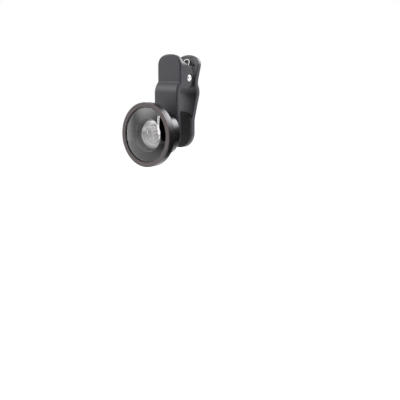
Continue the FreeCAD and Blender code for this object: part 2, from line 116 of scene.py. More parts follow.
# Spark-eroded ABS scatters what it reflects over a soft, slightly cloudy sheen. Its grain is
# drawn about three times as coarse as the real one, so that it shows
abs_black, tree, place = finish("spark_eroded_black_abs")
grain = add(tree, "ShaderNodeTexNoise", {
    "Vector": place, "Scale": 1 / (ABS_GRAIN * MM), "Detail": 3,
})
cloud = add(tree, "ShaderNodeTexNoise", {
    "Vector": place, "Scale": 1 / (ABS_CLOUD * MM), "Detail": 2,
})
tone = add(tree, "ShaderNodeMix", {
    SHARE: cloud, FIRST: linear("#34333b"), SECOND: linear("#3c3b43"),
}, data_type="RGBA")
gloss = add(tree, "ShaderNodeMapRange", {"Value": grain, "To Min": 0.36, "To Max": 0.5})
pores = add(tree, "ShaderNodeBump", {"Height": grain, "Distance": 0.01 * MM, "Strength": 0.6})
moulded = add(tree, "ShaderNodeBsdfPrincipled", {
    "Base Color": tone.outputs[MIXED], "Roughness": gloss, "Normal": pores, "IOR": 1.54,
})
add(tree, "ShaderNodeOutputMaterial", {"Surface": moulded})

stands_for(smoothed("front_lever", "front_half"), abs_black, "front", "clip_plastic",
           "front_lever")

# Rubber pads: moulded nitrile rubber, bonded to both jaws so that they grip without a mark.
# The skin is matt, a little dusty, and fine ribs run across it.
RIB_PITCH = 1.0
RIB_DEEP = 0.08
DUST = 1.2
# At scale 1 a wave texture repeats after this many metres
WAVE_REPEAT = pi / 10

# Moulded nitrile takes nearly all the shine away, and dust lifts its black to a soft grey
rubber, tree, place = finish("moulded_black_nitrile_rubber")
ribs = add(tree, "ShaderNodeTexWave", {
    "Vector": place, "Scale": WAVE_REPEAT / (RIB_PITCH * MM),
}, bands_direction="Z")
dust = add(tree, "ShaderNodeTexNoise", {"Vector": place, "Scale": 1 / (DUST * MM), "Detail": 4})
tone = add(tree, "ShaderNodeMix", {
    SHARE: dust, FIRST: linear("#1d1d1f"), SECOND: linear("#29292b"),
}, data_type="RGBA")
ridged = add(tree, "ShaderNodeBump", {
    "Height": ribs, "Distance": RIB_DEEP * MM, "Strength": 0.7,
})
skin = add(tree, "ShaderNodeBsdfPrincipled", {
    "Base Color": tone.outputs[MIXED], "Roughness": 0.78, "Normal": ridged, "IOR": 1.5,
})
add(tree, "ShaderNodeOutputMaterial", {"Surface": skin})

stands_for(smoothed("front_pad", "front_jaw_pad"), rubber, "front", "pad_rubber", "front_pad")
stands_for(smoothed("rear_pad", "rear_jaw_pad"), rubber, "rear", "pad_rubber", "rear_pad")

# Threaded ring: an aluminium bush pressed into the front lever, tapped for the lens.
# Turned pieces are all one outline swept about an axis, with their edges broken.
THREAD_DEEP = 0.3
BUSH_R = 6.4
BUSH_BORE = 5.6
BUSH_FRONT = -3.8
BUSH_BACK = -0.75
BUSH_FEED = 0.2
TURNED_STEPS = 160
SHARP_ABOVE = radians(30)
STRAIGHT_ABOVE = radians(155)
MOST_OF_A_SIDE = 0.4
ROUND_AT = (0, 0.25, 0.5, 0.75, 1)
TINY = 1e-6
LENS_AXIS = Matrix.Identity(3)


def broken(outline, size):
    # An outline of (radius, along) points in mm with each sharp corner rounded
    done = []
    count = len(outline)
    for i, corner in enumerate(outline):
        p = Vector(corner)
        before = Vector(outline[i - 1]) - p
        after = Vector(outline[(i + 1) % count]) - p
        repeated = before.length < TINY or after.length < TINY
        if repeated or before.angle(after) > STRAIGHT_ABOVE or p.x < TINY:
            done.append(corner)
            continue
        reach = min(size, before.length * MOST_OF_A_SIDE, after.length * MOST_OF_A_SIDE)
        a = p + before.normalized() * reach
        b = p + after.normalized() * reach
        for t in ROUND_AT:
            q = a * (1 - t) ** 2 + p * 2 * t * (1 - t) + b * t ** 2
            done.append((q.x, q.y))
    return done


def collar(outer, inner, front, back, edge):
    # The outline of a plain ring with its edges broken
    return broken([(outer, front), (outer, back), (inner, back), (inner, front)], edge)


def turned(name, outline, way=LENS_AXIS, centre=(0, 0, 0), steps=TURNED_STEPS):
    # Sweeps a closed outline about an axis. way turns the lens axis onto another one
    work = bmesh.new()
    turn = [2 * pi * k / steps for k in range(steps)]
    rings = []
    for radius, along in outline:
        if radius < TINY:
            rings.append([work.verts.new((0, along, 0))])
        else:
            rings.append([work.verts.new((radius * cos(a), along, radius * sin(a))) for a in turn])
    for one, other in zip(rings, rings[1:] + rings[:1]):
        for k in range(steps):
            corners = [one[k % len(one)], one[(k + 1) % len(one)]]
            corners += [other[(k + 1) % len(other)], other[k % len(other)]]
            corners = list(dict.fromkeys(corners))
            if len(corners) > 2:
                work.faces.new(corners)
    bmesh.ops.recalc_face_normals(work, faces=work.faces)
    for vert in work.verts:
        vert.co = (way @ vert.co + Vector(centre)) * MM
    mesh = bpy.data.meshes.new(name)
    work.to_mesh(mesh)
    work.free()
    mesh.shade_smooth()
    mesh.set_sharp_from_angle(angle=SHARP_ABOVE)
    piece = bpy.data.objects.new(name, mesh)
    bpy.context.collection.objects.link(piece)
    return piece


def about_axis(tree, place):
    # How far each point is from the lens axis, and where it is along it
    flat = add(tree, "ShaderNodeVectorMath", {0: place, 1: (1, 0, 1)}, operation="MULTIPLY")
    out = add(tree, "ShaderNodeVectorMath", {0: flat}, operation="LENGTH")
    apart = add(tree, "ShaderNodeSeparateXYZ", {0: place})
    return out.outputs["Value"], apart.outputs["Y"]


def lathe_marks(tree, place, feed):
    # Fine rings left by the tool's feed in mm: along a wall they follow the axis, and across a
    # face the radius. The feeds are drawn two to five times the real ones, so that they show
    out, along = about_axis(tree, place)
    cut = add(tree, "ShaderNodeMath", {0: out, 1: along})
    return add(tree, "ShaderNodeTexNoise", {"W": cut, "Scale": 1 / (feed * MM), "Detail": 3},
               noise_dimensions="1D")


# Dyed black on turned aluminium: a dark metal that shines softly along its rings
bush_metal, tree, place = finish("black_anodised_tapped_aluminium")
rings = lathe_marks(tree, place, BUSH_FEED)
gloss = add(tree, "ShaderNodeMapRange", {"Value": rings, "To Min": 0.3, "To Max": 0.45})
tapped = add(tree, "ShaderNodeBsdfPrincipled", {
    "Base Color": linear("#45454a"), "Metallic": 1.0, "Roughness": gloss,
})
add(tree, "ShaderNodeOutputMaterial", {"Surface": tapped})

# The bore is cut to the bottom of its thread, to leave room for the ridge on the lens
bush = turned("threaded_bush", collar(
    outer=BUSH_R, inner=BUSH_BORE + THREAD_DEEP, front=BUSH_FRONT, back=BUSH_BACK, edge=0.1))
stands_for(bush, bush_metal, "front", "insert_metal", "mount_insert")

# Pivot pin and its cap: a nickel-plated steel pin through both ears, with a cap pressed on its
# other end. Both heads were turned to a dome with a drilled centre, and sit in a recess.
PIN_Y = 7.5
PIN_Z = 30.2
PIN_R = 1.5
PIN_SEAT = 7.8
HEAD_R = 1.95
HEAD_OUT = 0.55
DRILLED_R = 0.4
DRILLED_DEEP = 0.35
DOME_R = 2.4
DOME_EDGE = 1.45
DOME_STEPS = 8
FLANGE = 0.08
FLANGE_EDGE = 0.05
PIN_STEPS = 64
PIN_RUBS = 0.5
PIN_MIDDLE = (0, PIN_Y, PIN_Z)
PIN_AXIS = Matrix(((0, 1, 0), (-1, 0, 0), (0, 0, 1)))

# Nickel plate is a warm bright mirror, blurred a little by fine rubs from handling
plate, tree, place = finish("bright_nickel_plate")
rub = add(tree, "ShaderNodeTexNoise", {
    "Vector": place, "Scale": 1 / (PIN_RUBS * MM), "Detail": 2,
})
gloss = add(tree, "ShaderNodeMapRange", {"Value": rub, "To Min": 0.2, "To Max": 0.32})
plated = add(tree, "ShaderNodeBsdfPrincipled", {
    "Base Color": linear("#e6e5e3"), "Metallic": 1.0, "Roughness": gloss,
})
add(tree, "ShaderNodeOutputMaterial", {"Surface": plated})


def head_outline(side):
    # A domed head on a thin flange, from the point of its drilled centre out to its rim
    outline = [(0, HEAD_OUT - DRILLED_DEEP)]
    for k in range(DOME_STEPS + 1):
        r = DRILLED_R + (DOME_EDGE - DRILLED_R) * k / DOME_STEPS
        outline.append((r, HEAD_OUT - DOME_R + sqrt(DOME_R ** 2 - r ** 2)))
    outline += [(HEAD_R - FLANGE_EDGE, FLANGE), (HEAD_R, FLANGE - FLANGE_EDGE), (HEAD_R, 0)]
    return [(r, side * (PIN_SEAT + out)) for r, out in outline]


pin = turned("pivot_pin_nickel", head_outline(1) + [
    (PIN_R, PIN_SEAT), (PIN_R, -PIN_SEAT), (0, -PIN_SEAT),
], PIN_AXIS, PIN_MIDDLE, PIN_STEPS)
cap = turned("pivot_cap_nickel", head_outline(-1) + [(0, -PIN_SEAT)],
             PIN_AXIS, PIN_MIDDLE, PIN_STEPS)
stands_for(pin, plate, "front", "pin_chrome", "pivot_pin")
stands_for(cap, plate, "front", "pin_chrome", "pin_cap")

# Double torsion spring: one length of hard-drawn steel wire. It is wound from a leg on the front
# handle, round the pin, up and over the rear handle in a loop, and back down the other side.
WIRE = 0.8
WIRE_SIDES = 16
DRAW_MARKS = 0.25
COIL_R = 2.3
COIL_PITCH = 1.3
COIL_TURNS = 2
COIL_STEPS = 90
LOOP_X = 2.16
LOOP_STEPS = 12
LEG_TOP = (1.63, 38.5)
LOOP_TOP = (14.97, 40.19)

# The die leaves the wire bright, with marks that draw its shine out along it
steel, tree, place = finish("hard_drawn_spring_wire")
drawn = add(tree, "ShaderNodeTexNoise", {
    "Vector": place, "Scale": 1 / (DRAW_MARKS * MM), "Detail": 2,
})
gloss = add(tree, "ShaderNodeMapRange", {"Value": drawn, "To Min": 0.16, "To Max": 0.3})
wire = add(tree, "ShaderNodeBsdfPrincipled", {
    "Base Color": linear("#b4b4b1"), "Metallic": 1.0, "Roughness": gloss,
})
add(tree, "ShaderNodeOutputMaterial", {"Surface": wire})


def tangent_angle(target, side):
    # Where round the coil the straight stretch to a target beside it leaves the wire's middle
    y, z = target[0] - PIN_Y, target[1] - PIN_Z
    return atan2(z, y) + side * (pi / 2 - asin(COIL_R / sqrt(y * y + z * z)))


def wire_path():
    # Middle of the wire on one side, from its free end to the top of the loop, then mirrored
    first = tangent_angle(LEG_TOP, 1) - 2 * pi
    last = tangent_angle(LOOP_TOP, -1) + 2 * pi * COIL_TURNS
    pitch = COIL_PITCH / (2 * pi)
    outer = LOOP_X + pitch * (last - first)
    points = [(outer, *LEG_TOP)]
    for k in range(COIL_STEPS + 1):
        a = first + (last - first) * k / COIL_STEPS
        y, z = PIN_Y + COIL_R * cos(a), PIN_Z + COIL_R * sin(a)
        points.append((outer - pitch * (a - first), y, z))
    top = Vector((0, *LOOP_TOP))
    up = (Vector((LOOP_X, *LOOP_TOP)) - Vector(points[-1])).normalized()
    for k in range(LOOP_STEPS + 1):
        a = pi / 2 * k / LOOP_STEPS
        points.append(top + Vector((LOOP_X * cos(a), 0, 0)) - up * LOOP_X * (1 - sin(a)))
    return [Vector(p) for p in points] + [Vector((-x, y, z)) for x, y, z in points[-2::-1]]


def tree_with(name, inputs):
    # An empty geometry tree with the named sizes as its inputs
    tree = bpy.data.node_groups.new(name, "GeometryNodeTree")
    tree.interface.new_socket("Geometry", in_out="INPUT", socket_type="NodeSocketGeometry")
    for label, kind in inputs.items():
        tree.interface.new_socket(label, in_out="INPUT", socket_type=kind)
    tree.interface.new_socket("Geometry", in_out="OUTPUT", socket_type="NodeSocketGeometry")
    return tree, add(tree, "NodeGroupInput").outputs


def grown(name, tree, start, sizes):
    # Runs a geometry tree on a start object and keeps the result as a plain mesh
    bpy.context.collection.objects.link(start)
    modifier = start.modifiers.new("grow", "NODES")
    modifier.node_group = tree
    for socket in tree.interface.items_tree:
        if socket.in_out == "INPUT" and socket.name in sizes:
            modifier[socket.identifier] = sizes[socket.name]
    graph = bpy.context.evaluated_depsgraph_get()
    mesh = bpy.data.meshes.new_from_object(start.evaluated_get(graph))
    start.modifiers.remove(modifier)
    bpy.data.objects.remove(start)
    piece = bpy.data.objects.new(name, mesh)
    bpy.context.collection.objects.link(piece)
    return piece


# A round wire laid along a path
wire_on_path, given = tree_with("wire_on_path", {
    "Diameter": "NodeSocketFloat", "Sides": "NodeSocketInt", "Finish": "NodeSocketMaterial",
})
half = add(wire_on_path, "ShaderNodeMath", {0: given["Diameter"], 1: 0.5}, operation="MULTIPLY")
section = add(wire_on_path, "GeometryNodeCurvePrimitiveCircle", {
    "Resolution": given["Sides"], "Radius": half,
})
tube = add(wire_on_path, "GeometryNodeCurveToMesh", {
    "Curve": given["Geometry"], "Profile Curve": section, "Fill Caps": True,
})
real = add(wire_on_path, "GeometryNodeRealizeInstances", {0: tube})
named = add(wire_on_path, "GeometryNodeSetMaterial", {0: real, "Material": given["Finish"]})
add(wire_on_path, "NodeGroupOutput", {0: named})

middle = wire_path()
path = bpy.data.curves.new("spring_path", "CURVE")
path.dimensions = "3D"
spline = path.splines.new("POLY")
spline.points.add(len(middle) - 1)
for point, spot in zip(spline.points, middle):
    point.co = (*(spot * MM), 1)
spring_path = bpy.data.objects.new("spring_path", path)
spring = grown("double_torsion_spring", wire_on_path, spring_path, {
    "Diameter": WIRE * MM, "Sides": WIRE_SIDES, "Finish": steel,
})
spring.data.shade_smooth()
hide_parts("torsion_spring")
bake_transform(spring)

# Rear lever: the clip's other half, moulded in the same ABS, with a tongue for the pin between
# the spring's two coils and a shallow pocket inside its handle.
stands_for(smoothed("rear_lever", "rear_half"), abs_black, "rear", "clip_plastic", "rear_lever")

# Macro base lens: a black anodised aluminium barrel, turned from bar, with a threaded neck that
# screws into the bush. Its bore is painted pale, a painted light that shows bright behind the
# glass, and its glass is held there by a screwed ring.
MACRO_R = 11.8
MACRO_FRONT = -14.35
MACRO_BACK = -4.5
BASE_R = 8.2
BASE_BACK = -4.2
NECK_R = 5.55
NECK_BACK = -0.9
NECK_BORE = 4.4
NECK_BORE_END = -4.9
NECK_THREAD_START = -3.7
FLARE_R = 6.4
MACRO_SEAT = -6.6
MACRO_GLASS_R = 7.2
MACRO_GLASS_FRONT = -8.2
MACRO_GLASS_FIT = 0.03
TAIL_BORE = 10.2
TAIL_BORE_END = -11.9
SEAM_FRONT = -14.55
THREAD_PITCH = 0.75
THREAD_STEPS = 72
THREAD_END_GAP = 0.1
RIDGE_SIDES = 3
RUNOUT = 0.08
BARREL_FEED = 0.16
BARREL_CLOUD = 5
GROOVE_DEEP = 0.006
PALE_PAINTED_BORE_BELOW = 8.75
PALE_PAINTED_BORE_BEFORE = -5.5
BAFFLE_FEED = 0.4

# Black dye in a clear skin over turned metal gives a dark, satin, softly clouded shine. Near the
# axis and in front of the neck the colour is painted pale, a painted light so both bores show
# bright behind the glass
anodised, tree, place = finish("black_anodised_turned_aluminium")
rings = lathe_marks(tree, place, BARREL_FEED)
cloud = add(tree, "ShaderNodeTexNoise", {
    "Vector": place, "Scale": 1 / (BARREL_CLOUD * MM), "Detail": 2,
})
dyed = add(tree, "ShaderNodeMix", {
    SHARE: cloud, FIRST: linear("#403f41"), SECOND: linear("#4c4b4d"),
}, data_type="RGBA")
out, along = about_axis(tree, place)
near = add(tree, "ShaderNodeMath", {0: out, 1: PALE_PAINTED_BORE_BELOW * MM}, operation="LESS_THAN")
before = add(tree, "ShaderNodeMath", {0: along, 1: PALE_PAINTED_BORE_BEFORE * MM}, operation="LESS_THAN")
painted_bore_light = add(tree, "ShaderNodeMath", {0: near, 1: before}, operation="MULTIPLY")
# Painted light: inside this radius and in front of the neck the base colour is a pale grey, so the
# bores show bright through the lenses
tone = add(tree, "ShaderNodeMix", {
    SHARE: painted_bore_light, FIRST: dyed.outputs[MIXED], SECOND: linear("#bcbcbf"),
}, data_type="RGBA")
gloss = add(tree, "ShaderNodeMapRange", {"Value": rings, "To Min": 0.28, "To Max": 0.4})
grooves = add(tree, "ShaderNodeBump", {
    "Height": rings, "Distance": GROOVE_DEEP * MM, "Strength": 0.5,
})
metal = add(tree, "ShaderNodeBsdfPrincipled", {
    "Base Color": tone.outputs[MIXED], "Metallic": 0.85, "Roughness": gloss, "Normal": grooves,
})
add(tree, "ShaderNodeOutputMaterial", {"Surface": metal})

# A thread's ridge: a three-sided bar wound on its root, which runs out at both ends
thread_ridge, given = tree_with("thread_ridge", {
    "Root radius": "NodeSocketFloat", "Depth": "NodeSocketFloat", "Pitch": "NodeSocketFloat",
    "Turns": "NodeSocketFloat", "Start": "NodeSocketFloat", "Finish": "NodeSocketMaterial",
})
rise = add(thread_ridge, "ShaderNodeMath", {
    0: given["Pitch"], 1: given["Turns"],
}, operation="MULTIPLY")
helix = add(thread_ridge, "GeometryNodeCurveSpiral", {
    "Resolution": THREAD_STEPS, "Rotations": given["Turns"], "Height": rise,
    "Start Radius": given["Root radius"], "End Radius": given["Root radius"],
})
share = add(thread_ridge, "GeometryNodeSplineParameter")
other = add(thread_ridge, "ShaderNodeMath", {0: 1.0, 1: share}, operation="SUBTRACT")
nearest = add(thread_ridge, "ShaderNodeMath", {0: share, 1: other}, operation="MINIMUM")
runout = add(thread_ridge, "ShaderNodeMapRange", {
    "Value": nearest, "From Max": RUNOUT, "To Min": 0.02,
})
tapered = add(thread_ridge, "GeometryNodeSetCurveRadius", {"Curve": helix, "Radius": runout})
upright = add(thread_ridge, "GeometryNodeSetCurveNormal", {"Curve": tapered}, mode="Z_UP")
crest = add(thread_ridge, "GeometryNodeCurvePrimitiveCircle", {
    "Resolution": RIDGE_SIDES, "Radius": given["Depth"],
})
ridge = add(thread_ridge, "GeometryNodeCurveToMesh", {
    "Curve": upright, "Profile Curve": crest, "Fill Caps": True,
})
laid = add(thread_ridge, "ShaderNodeCombineXYZ", {"Y": given["Start"]})
swung = add(thread_ridge, "GeometryNodeTransform", {
    "Geometry": ridge, "Translation": laid, "Rotation": (-pi / 2, 0, 0),
})
real = add(thread_ridge, "GeometryNodeRealizeInstances", {0: swung})
named = add(thread_ridge, "GeometryNodeSetMaterial", {0: real, "Material": given["Finish"]})
add(thread_ridge, "NodeGroupOutput", {0: named})


def with_thread(piece, root, start, end, material):
    # Winds a thread's ridge round a piece and joins the two
    start_mesh = bpy.data.objects.new("thread_start", bpy.data.meshes.new("thread_start"))
    ridge = grown(piece.name + "_thread", thread_ridge, start_mesh, {
        "Root radius": root * MM, "Depth": THREAD_DEEP * MM, "Pitch": THREAD_PITCH * MM,
        "Turns": (end - start) / THREAD_PITCH, "Start": start * MM, "Finish": material,
    })
    work = bmesh.new()
    work.from_mesh(piece.data)
    work.from_mesh(ridge.data)
    work.to_mesh(piece.data)
    work.free()
    bpy.data.objects.remove(ridge)


neck_root = NECK_R - THREAD_DEEP
pocket = MACRO_GLASS_R + MACRO_GLASS_FIT
macro = turned("macro_barrel_turned", broken([
    (TAIL_BORE, MACRO_FRONT), (MACRO_R, MACRO_FRONT), (MACRO_R, MACRO_BACK), (BASE_R, MACRO_BACK),
    (BASE_R, BASE_BACK), (neck_root, BASE_BACK), (neck_root, NECK_BACK), (NECK_BORE, NECK_BACK),
    (NECK_BORE, NECK_BORE_END), (FLARE_R, MACRO_SEAT), (pocket, MACRO_SEAT),
    (pocket, TAIL_BORE_END), (TAIL_BORE, TAIL_BORE_END),
], size=0.25))
with_thread(macro, neck_root, start=NECK_THREAD_START, end=NECK_BACK - THREAD_END_GAP,
            material=anodised)
stands_for(macro, anodised, "macro", "barrel_metal", "macro_barrel")

# Dead matt black: the dye takes the metal's shine away, and faint rings are left
blacking, tree, place = finish("matt_black_anodised_baffle")
rings = lathe_marks(tree, place, BAFFLE_FEED)
tone = add(tree, "ShaderNodeMix", {
    SHARE: rings, FIRST: linear("#1d191b"), SECOND: linear("#282326"),
}, data_type="RGBA")
matt = add(tree, "ShaderNodeBsdfPrincipled", {"Base Color": tone.outputs[MIXED], "Roughness": 0.6})
add(tree, "ShaderNodeOutputMaterial", {"Surface": matt})

retainer = turned("macro_lock_ring", collar(
    outer=MACRO_GLASS_R, inner=6.2, front=-9.3, back=MACRO_GLASS_FRONT, edge=0.15))
stands_for(retainer, blacking, "macro", "blackened_ring", "macro_retaining_ring")
base_ring = turned("base_washer_rubber", collar(
    outer=8.0, inner=5.7, front=-4.18, back=-3.82, edge=0.1))
stands_for(base_ring, rubber, "macro", "pad_rubber", "base_washer")
seam_ring = turned("seam_washer_rubber", collar(
    outer=11.3, inner=10.4, front=SEAM_FRONT, back=MACRO_FRONT, edge=0.08))
stands_for(seam_ring, rubber, "macro", "pad_rubber", "seam_washer")

# Lenses: ground and polished dense optical glass. The front one is bare, and the two behind it
# are coated. The rims stay matt where they sit in metal, too fine to show behind it.
DOME_POINTS = 28
WIPE_MARKS = 4

# Bare glass mirrors the room sharply over what is behind it, with the faintest wipe marks
glass, tree, place = finish("polished_dense_optical_glass")
wipe = add(tree, "ShaderNodeTexNoise", {
    "Vector": place, "Scale": 1 / (WIPE_MARKS * MM), "Detail": 3,
})
gloss = add(tree, "ShaderNodeMapRange", {"Value": wipe, "To Min": 0.0, "To Max": 0.03})
clear = add(tree, "ShaderNodeBsdfPrincipled", {
    "Base Color": linear("#fcfbfc"), "Roughness": gloss, "IOR": 1.62, "Transmission Weight": 1.0,
})
add(tree, "ShaderNodeOutputMaterial", {"Surface": clear})

# A thin coating leaves a pale and slightly soft shine on the inner lenses
coated, tree, place = finish("polished_coated_optical_glass")
wipe = add(tree, "ShaderNodeTexNoise", {
    "Vector": place, "Scale": 1 / (WIPE_MARKS * MM), "Detail": 3,
})
gloss = add(tree, "ShaderNodeMapRange", {"Value": wipe, "To Min": 0.02, "To Max": 0.08})
clear = add(tree, "ShaderNodeBsdfPrincipled", {
    "Base Color": linear("#fcfbfc"), "Roughness": gloss, "IOR": 1.62, "Transmission Weight": 1.0,
    "Coat Weight": 1.0, "Coat IOR": 1.85, "Coat Roughness": 0.2,
})
add(tree, "ShaderNodeOutputMaterial", {"Surface": clear})


def bowed(radius, reach, edge, way):
    # A ground surface from its edge in to the lens axis, bowed towards way along the axis
    depth = radius - sqrt(radius ** 2 - reach ** 2)
    points = []
    for k in range(DOME_POINTS + 1):
        r = reach * (1 - k / DOME_POINTS)
        points.append((r, edge + way * (depth - radius + sqrt(radius ** 2 - r ** 2))))
    return points


macro_front = bowed(radius=21.0, reach=6.1, edge=MACRO_GLASS_FRONT, way=-1)
macro_back = bowed(radius=21.0, reach=6.1, edge=MACRO_SEAT, way=1)
macro_glass = turned("macro_lens", macro_front[::-1] + [
    (MACRO_GLASS_R, MACRO_GLASS_FRONT), (MACRO_GLASS_R, MACRO_SEAT),
] + macro_back)
stands_for(macro_glass, coated, "macro_glass", "glass", "macro_element")

# Wide front lens: a drum turned from the same black anodised bar, with a threaded tail that
# screws into the macro barrel. A matt black baffle keeps stray light off its inner lens.
DRUM_R = 17.5
DRUM_FRONT = -19.1
DRUM_BACK = -14.6
DRUM_SHOULDER = 0.9
DRUM_FLOOR = -15.3
TAIL_R = 10.15
TAIL_BACK = -12.35
TAIL_INNER = 8.7
TAIL_THREAD_GAP = 0.15
INNER_SEAT = -13.0
INNER_POCKET = 8.95
INNER_LENS_R = 8.9
INNER_LENS_BACK = -13.05
RING_SEAT = -17.8
RING_SEAT_R = 16.5
GLASS_R = 15.3
GLASS_FIT = 0.05
GLASS_RIM = -19.2
GLASS_BACK = -15.6
GLASS_CLEAR_R = 14.9

tail_root = TAIL_R - THREAD_DEEP
drum = turned("wide_drum", broken([
    (RING_SEAT_R, DRUM_FRONT), (DRUM_R, DRUM_FRONT), (DRUM_R, DRUM_BACK - DRUM_SHOULDER),
    (DRUM_R - DRUM_SHOULDER, DRUM_BACK), (tail_root, DRUM_BACK), (tail_root, TAIL_BACK),
    (TAIL_INNER, TAIL_BACK), (TAIL_INNER, INNER_SEAT), (INNER_POCKET, INNER_SEAT),
    (INNER_POCKET, DRUM_FLOOR), (GLASS_R + GLASS_FIT, DRUM_FLOOR),
    (GLASS_R + GLASS_FIT, RING_SEAT), (RING_SEAT_R, RING_SEAT),
], size=0.3))
with_thread(drum, tail_root, start=DRUM_BACK + TAIL_THREAD_GAP, end=TAIL_BACK - THREAD_END_GAP,
            material=anodised)
stands_for(drum, anodised, "wide", "barrel_metal", "wide_barrel")

baffle = turned("light_baffle_ring", collar(
    outer=GLASS_R, inner=8.6, front=GLASS_BACK, back=DRUM_FLOOR, edge=0.05))
stands_for(baffle, blacking, "wide", "blackened_ring", "light_baffle")
lock = turned("inner_lock_ring", collar(
    outer=8.93, inner=8.5, front=-15.25, back=DRUM_BACK, edge=0.08))
stands_for(lock, blacking, "wide", "blackened_ring", "inner_retaining_ring")

inner = turned("inner_lens", bowed(radius=38.0, reach=7.4, edge=DRUM_BACK, way=1)[::-1] + [
    (INNER_LENS_R, DRUM_BACK), (INNER_LENS_R, INNER_LENS_BACK), (0, INNER_LENS_BACK),
])
stands_for(inner, coated, "wide_glass", "glass", "inner_element")
dome = bowed(radius=39.0, reach=GLASS_CLEAR_R, edge=-19.45, way=-1)
bowl = bowed(radius=12.0, reach=8.55, edge=GLASS_BACK, way=-1)
meniscus = turned("front_lens", dome[::-1] + [
    (GLASS_CLEAR_R, GLASS_RIM), (GLASS_R, GLASS_RIM), (GLASS_R, GLASS_BACK),
] + bowl)
stands_for(meniscus, glass, "wide_glass", "glass", "front_meniscus")
seal = turned("glass_seal_ring", collar(
    outer=GLASS_R, inner=14.95, front=-19.5, back=GLASS_RIM, edge=0.08))
stands_for(seal, rubber, "wide", "pad_rubber", "glass_seal")

# Front ring: a dark grey anodised aluminium ring, turned and screwed into the drum over the
# glass. Its face is finely faced, so it shows fine rings and a broad sheen.
RING_R = 17.6
RING_BORE = 15.0
RING_FRONT = -19.95
RING_FLANGE_BACK = -19.12
RING_SKIRT_R = 16.45
RING_SKIRT_BACK = -17.9
RING_SKIRT_BORE = 15.4
RING_LIP_BACK = -19.52
RING_FEED = 0.12
RING_WEAR = 3

# Grey dye over a finely faced metal, worn a little paler in places
ring_metal, tree, place = finish("grey_anodised_faced_aluminium")
rings = lathe_marks(tree, place, RING_FEED)
wear = add(tree, "ShaderNodeTexNoise", {
    "Vector": place, "Scale": 1 / (RING_WEAR * MM), "Detail": 4,
})
tone = add(tree, "ShaderNodeMix", {
    SHARE: wear, FIRST: linear("#585252"), SECOND: linear("#645e5e"),
}, data_type="RGBA")
gloss = add(tree, "ShaderNodeMapRange", {"Value": rings, "To Min": 0.3, "To Max": 0.45})
grooves = add(tree, "ShaderNodeBump", {
    "Height": rings, "Distance": GROOVE_DEEP * MM, "Strength": 0.5,
})
metal = add(tree, "ShaderNodeBsdfPrincipled", {
    "Base Color": tone.outputs[MIXED], "Metallic": 1.0, "Roughness": gloss, "Normal": grooves,
})
add(tree, "ShaderNodeOutputMaterial", {"Surface": metal})

ring = turned("front_ring_faced", broken([
    (RING_BORE, RING_FRONT), (RING_R, RING_FRONT), (RING_R, RING_FLANGE_BACK),
    (RING_SKIRT_R, RING_FLANGE_BACK), (RING_SKIRT_R, RING_SKIRT_BACK),
    (RING_SKIRT_BORE, RING_SKIRT_BACK), (RING_SKIRT_BORE, RING_LIP_BACK),
    (RING_BORE, RING_LIP_BACK),
], size=0.3))
stands_for(ring, ring_metal, "wide", "ring_metal", "front_ring")

# The view and the studio: a long lens low in front and to the right, a pale paper floor and a
# white surround. Lamps are soft boxes, brightest in the middle, and black cards shape the shine.
VIEW_FROM = (0.3607, -0.3966, 0.0408)
VIEW_DOWN = 8.344
VIEW_ROUND = 40.498
LONG_LENS = 86.78
CLIP_MIDDLE = (0, 0, 0.01)
FLOOR_Z = -0.1151
FLOOR_LIFT = 0.72
PAPER_FIBRE = 2
AMBIENT = 0.36
FELT_NAP = 1
GLOW_STRIP_WEAVE = 20
NET_MIDDLE = (0.03, -0.3, -0.1)
NET_REACH = 0.2
NET_CORE = 0.02

camera = bpy.data.objects.new("camera", bpy.data.cameras.new("camera"))
camera.data.sensor_width = 36
camera.data.lens = LONG_LENS
camera.data.clip_end = 20
camera.location = VIEW_FROM
camera.rotation_euler = (radians(90 - VIEW_DOWN), 0, radians(VIEW_ROUND))
bpy.context.collection.objects.link(camera)
bpy.context.scene.camera = camera
bpy.context.scene.view_settings.view_transform = "Standard"


def background_rays(tree):
    # 1 for the rays that should meet a white background: to the eye, in a shine or through glass
    ray = add(tree, "ShaderNodeLightPath").outputs
    seen = add(tree, "ShaderNodeMath", {
        0: ray["Is Camera Ray"], 1: ray["Is Glossy Ray"],
    }, operation="MAXIMUM")
    return add(tree, "ShaderNodeMath", {0: seen, 1: ray["Is Transmission Ray"]},
               operation="MAXIMUM")


world = bpy.data.worlds.new("white_surround")
world.use_nodes = True
bpy.context.scene.world = world
tree = world.node_tree
tree.nodes.clear()
level = add(tree, "ShaderNodeMapRange", {"Value": background_rays(tree), "To Min": AMBIENT})
sky = add(tree, "ShaderNodeBackground", {"Color": linear("#ffffff"), "Strength": level})
add(tree, "ShaderNodeOutputWorld", {"Surface": sky})

# Paper that keeps the part's shadow and is lifted to white for the background's rays
paper, tree, place = finish("white_paper_floor")
fibre = add(tree, "ShaderNodeTexNoise", {"Vector": place, "Scale": 1 / (PAPER_FIBRE * MM)})
tone = add(tree, "ShaderNodeMix", {
    SHARE: fibre, FIRST: linear("#f4f4f4"), SECOND: linear("#f8f8f8"),
}, data_type="RGBA")
diffuse = add(tree, "ShaderNodeBsdfDiffuse", {"Color": tone.outputs[MIXED]})
lift = add(tree, "ShaderNodeMath", {
    0: background_rays(tree), 1: FLOOR_LIFT,
}, operation="MULTIPLY")
glow = add(tree, "ShaderNodeEmission", {"Strength": lift})
sheet = add(tree, "ShaderNodeAddShader", {0: diffuse, 1: glow})
add(tree, "ShaderNodeOutputMaterial", {"Surface": sheet})
bpy.ops.mesh.primitive_circle_add(
    vertices=96, radius=3, fill_type="NGON", location=(0, 0, FLOOR_Z))
floor = bpy.context.object
floor.name = "paper_floor"
floor.data.materials.append(paper)


